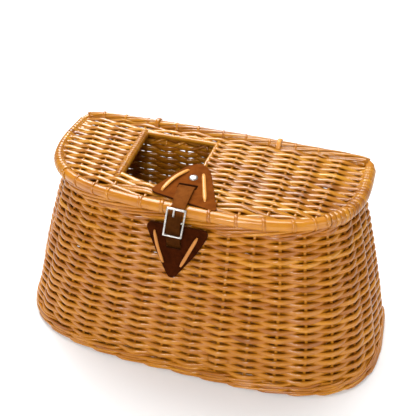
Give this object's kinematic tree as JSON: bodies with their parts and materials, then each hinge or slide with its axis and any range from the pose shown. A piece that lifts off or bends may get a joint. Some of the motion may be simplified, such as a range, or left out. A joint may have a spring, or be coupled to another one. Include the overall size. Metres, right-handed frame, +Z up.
{
  "type": "fishing creel bag",
  "caption": "Wicker fishing creel of varnished split willow with a flat back, a hinged lid with a hole for the catch, and a leather strap with a steel buckle",
  "frame": {"origin": "on the ground under the middle of the base", "axes": "+X along the width, from the hole's side towards the solid side of the lid; +Y to the flat back; +Z up"},
  "size_m": [0.3826, 0.158, 0.1981],
  "materials": {
    "willow": "varnished split willow, honey coloured",
    "cane": "pale flat cane, varnished",
    "patch_leather": "smooth dark brown leather with cut edges",
    "strap_leather": "smooth mid-brown strap leather",
    "nickel": "bright nickel plate"
  },
  "bodies": {
    "root": {"base_panel": "willow", "foot_band": "willow", "basket_wall": "willow", "rim_band": "willow", "lid_rim": "willow", "lid_panel": "willow", "hole_bar_left": "willow", "hole_bar_right": "willow", "hinge_loop_left": "cane", "hinge_loop_right": "cane", "lid_patch": "patch_leather", "patch_rivet": "nickel", "cane_stitch_lid_1": "cane", "cane_stitch_lid_2": "cane", "front_patch": "patch_leather", "cane_stitch_front_1": "cane", "cane_stitch_front_2": "cane", "closing_strap": "strap_leather", "buckle_strap": "strap_leather", "buckle_frame": "nickel", "buckle_prong": "nickel"}
  },
  "joints": []
}
